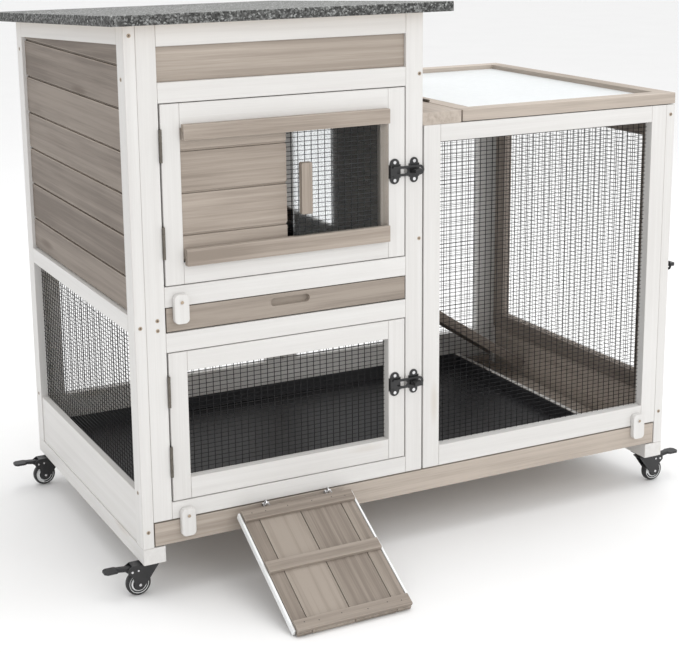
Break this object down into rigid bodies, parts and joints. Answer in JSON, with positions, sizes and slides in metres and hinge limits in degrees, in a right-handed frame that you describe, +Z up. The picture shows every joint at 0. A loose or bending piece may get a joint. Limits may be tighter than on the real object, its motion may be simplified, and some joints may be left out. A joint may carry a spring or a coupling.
{
  "type": "rabbit hutch",
  "caption": "Two-storey wooden rabbit hutch with a felted lean-to roof, wire run with a lifting lid, mesh doors, pull-out trays, ramps and braked casters",
  "frame": {"origin": "on the floor, under the middle of the timber footprint", "axes": "+X to the run's end along the length, +Y to the back, +Z up"},
  "size_m": [1.228, 0.9679, 0.9921],
  "materials": {
    "white_timber": "satin",
    "taupe_timber": "matte",
    "plywood": "matte",
    "roof_felt": "matte",
    "black_wire": "satin",
    "black_metal": "satin",
    "hinge_metal": "satin",
    "bright_metal": "polished",
    "black_plastic": "matte",
    "clear_plastic": "gloss",
    "white_plastic": "satin",
    "tyre": "matte"
  },
  "bodies": {
    "hutch": {"roof_deck": "plywood", "roof_felt": "roof_felt", "depth_beams": "white_timber", "side_frames": "white_timber", "house_front_frame": "white_timber", "house_back_frame": "white_timber", "house_boards": "taupe_timber", "wall_boards": "taupe_timber", "upper_floor": "plywood", "run_frame": "white_timber", "run_top_strip": "taupe_timber", "wire_mesh_panels": "black_wire", "hinge_leaves": "hinge_metal", "hasp_keepers": "black_metal", "inner_ramp": "taupe_timber", "frame_screws": "hinge_metal", "caster_plates": "bright_metal"},
    "upper_door": {"upper_door_frame": "white_timber", "upper_door_boards": "taupe_timber", "upper_door_mesh": "black_wire", "upper_door_metal": "hinge_metal"},
    "window_pane": {"sliding_pane": "clear_plastic"},
    "upper_hasp_strap": {"upper_strap": "black_metal"},
    "upper_hasp_knob": {"upper_knob": "black_metal"},
    "lower_door": {"lower_door_frame": "white_timber", "lower_door_mesh": "black_wire", "lower_door_metal": "hinge_metal"},
    "lower_hasp_strap": {"lower_strap": "black_metal"},
    "lower_hasp_knob": {"lower_knob": "black_metal"},
    "side_door": {"side_door_frame": "taupe_timber", "side_door_mesh": "black_wire", "side_door_metal": "hinge_metal"},
    "side_hasp_strap": {"side_strap": "black_metal"},
    "side_hasp_knob": {"side_knob": "black_metal"},
    "lid": {"lid_frame": "taupe_timber", "lid_sheet": "white_plastic", "lid_hinge_leaves": "hinge_metal"},
    "upper_tray": {"tray_front": "taupe_timber", "tray_pan": "black_plastic"},
    "tray_turn_button": {"tray_button": "white_timber"},
    "lower_drawer": {"drawer_front": "taupe_timber", "drawer_base": "plywood", "drawer_pan": "black_plastic", "ramp_eyes": "bright_metal"},
    "left_turn_button": {"drawer_button_left": "white_timber"},
    "right_turn_button": {"drawer_button_right": "white_timber"},
    "outer_ramp": {"ramp_boards": "taupe_timber", "ramp_trim": "white_plastic"},
    "front_left_caster": {"front_left_fork": "black_metal"},
    "front_left_caster_wheel": {"front_left_wheel": "tyre"},
    "front_left_caster_brake": {"front_left_brake": "black_plastic"},
    "back_left_caster": {"back_left_fork": "black_metal"},
    "back_left_caster_wheel": {"back_left_wheel": "tyre"},
    "back_left_caster_brake": {"back_left_brake": "black_plastic"},
    "front_right_caster": {"front_right_fork": "black_metal"},
    "front_right_caster_wheel": {"front_right_wheel": "tyre"},
    "front_right_caster_brake": {"front_right_brake": "black_plastic"},
    "back_right_caster": {"back_right_fork": "black_metal"},
    "back_right_caster_wheel": {"back_right_wheel": "tyre"},
    "back_right_caster_brake": {"back_right_brake": "black_plastic"}
  },
  "joints": [
    {"name": "upper_door_hinge", "type": "hinge", "parent": "hutch", "child": "upper_door", "pos_m": [-0.4955, -0.3176, 0.7], "axis": [0, 0, -1], "range_deg": [0, 165]},
    {"name": "lower_door_hinge", "type": "hinge", "parent": "hutch", "child": "lower_door", "pos_m": [-0.4955, -0.3176, 0.303], "axis": [0, 0, -1], "range_deg": [0, 165]},
    {"name": "side_door_hinge", "type": "hinge", "parent": "hutch", "child": "side_door", "pos_m": [0.5536, 0.2795, 0.466], "axis": [0, 0, 1], "range_deg": [0, 165]},
    {"name": "lid_hinge", "type": "hinge", "parent": "hutch", "child": "lid", "pos_m": [0.073, -0.003, 0.8011], "axis": [0, -1, 0], "range_deg": [0, 95]},
    {"name": "window_slide", "type": "slide", "parent": "upper_door", "child": "window_pane", "axis": [-1, 0, 0], "range_m": [0, 0.185]},
    {"name": "upper_tray_slide", "type": "slide", "parent": "hutch", "child": "upper_tray", "axis": [0, -1, 0], "range_m": [0, 0.45]},
    {"name": "lower_drawer_slide", "type": "slide", "parent": "hutch", "child": "lower_drawer", "axis": [0, -1, 0], "range_m": [0, 0.5]},
    {"name": "tray_button_turn", "type": "hinge", "parent": "upper_tray", "child": "tray_turn_button", "pos_m": [-0.471, -0.32, 0.519], "axis": [0, -1, 0], "range_deg": [-90, 90]},
    {"name": "left_button_turn", "type": "hinge", "parent": "lower_drawer", "child": "left_turn_button", "pos_m": [-0.471, -0.32, 0.143], "axis": [0, -1, 0], "range_deg": [-90, 90]},
    {"name": "right_button_turn", "type": "hinge", "parent": "lower_drawer", "child": "right_turn_button", "pos_m": [0.485, -0.32, 0.15], "axis": [0, -1, 0], "range_deg": [-90, 90]},
    {"name": "outer_ramp_hinge", "type": "hinge", "parent": "lower_drawer", "child": "outer_ramp", "pos_m": [-0.2675, -0.325, 0.138], "axis": [-1, 0, 0], "range_deg": [0, 110]},
    {"name": "upper_strap_hinge", "type": "hinge", "parent": "upper_door", "child": "upper_hasp_strap", "pos_m": [-0.074, -0.3191, 0.7], "axis": [0, 0, -1], "range_deg": [0, 110]},
    {"name": "upper_knob_turn", "type": "hinge", "parent": "hutch", "child": "upper_hasp_knob", "pos_m": [-0.026, -0.325, 0.7], "axis": [0, -1, 0], "range_deg": [0, 90]},
    {"name": "lower_strap_hinge", "type": "hinge", "parent": "lower_door", "child": "lower_hasp_strap", "pos_m": [-0.074, -0.3191, 0.311], "axis": [0, 0, -1], "range_deg": [0, 150]},
    {"name": "lower_knob_turn", "type": "hinge", "parent": "hutch", "child": "lower_hasp_knob", "pos_m": [-0.026, -0.325, 0.311], "axis": [0, -1, 0], "range_deg": [0, 90]},
    {"name": "side_strap_hinge", "type": "hinge", "parent": "side_door", "child": "side_hasp_strap", "pos_m": [0.5551, -0.25, 0.456], "axis": [0, 0, 1], "range_deg": [0, 150]},
    {"name": "side_knob_turn", "type": "hinge", "parent": "hutch", "child": "side_hasp_knob", "pos_m": [0.561, -0.298, 0.456], "axis": [1, 0, 0], "range_deg": [0, 90]},
    {"name": "front_left_swivel", "type": "hinge", "parent": "hutch", "child": "front_left_caster", "pos_m": [-0.531, -0.285, 0.055], "axis": [0, 0, 1], "continuous": true},
    {"name": "front_left_spin", "type": "hinge", "parent": "front_left_caster", "child": "front_left_caster_wheel", "pos_m": [-0.553, -0.285, 0.022], "axis": [0, 1, 0], "continuous": true},
    {"name": "front_left_brake_tread", "type": "hinge", "parent": "front_left_caster", "child": "front_left_caster_brake", "pos_m": [-0.566, -0.285, 0.047], "axis": [0, -1, 0], "range_deg": [0, 14]},
    {"name": "back_left_swivel", "type": "hinge", "parent": "hutch", "child": "back_left_caster", "pos_m": [-0.531, 0.285, 0.055], "axis": [0, 0, 1], "continuous": true},
    {"name": "back_left_spin", "type": "hinge", "parent": "back_left_caster", "child": "back_left_caster_wheel", "pos_m": [-0.553, 0.285, 0.022], "axis": [0, 1, 0], "continuous": true},
    {"name": "back_left_brake_tread", "type": "hinge", "parent": "back_left_caster", "child": "back_left_caster_brake", "pos_m": [-0.566, 0.285, 0.047], "axis": [0, -1, 0], "range_deg": [0, 14]},
    {"name": "front_right_swivel", "type": "hinge", "parent": "hutch", "child": "front_right_caster", "pos_m": [0.531, -0.285, 0.055], "axis": [0, 0, 1], "continuous": true},
    {"name": "front_right_spin", "type": "hinge", "parent": "front_right_caster", "child": "front_right_caster_wheel", "pos_m": [0.553, -0.285, 0.022], "axis": [0, 1, 0], "continuous": true},
    {"name": "front_right_brake_tread", "type": "hinge", "parent": "front_right_caster", "child": "front_right_caster_brake", "pos_m": [0.566, -0.285, 0.047], "axis": [0, 1, 0], "range_deg": [0, 14]},
    {"name": "back_right_swivel", "type": "hinge", "parent": "hutch", "child": "back_right_caster", "pos_m": [0.531, 0.285, 0.055], "axis": [0, 0, 1], "continuous": true},
    {"name": "back_right_spin", "type": "hinge", "parent": "back_right_caster", "child": "back_right_caster_wheel", "pos_m": [0.553, 0.285, 0.022], "axis": [0, 1, 0], "continuous": true},
    {"name": "back_right_brake_tread", "type": "hinge", "parent": "back_right_caster", "child": "back_right_caster_brake", "pos_m": [0.566, 0.285, 0.047], "axis": [0, 1, 0], "range_deg": [0, 14]}
  ]
}
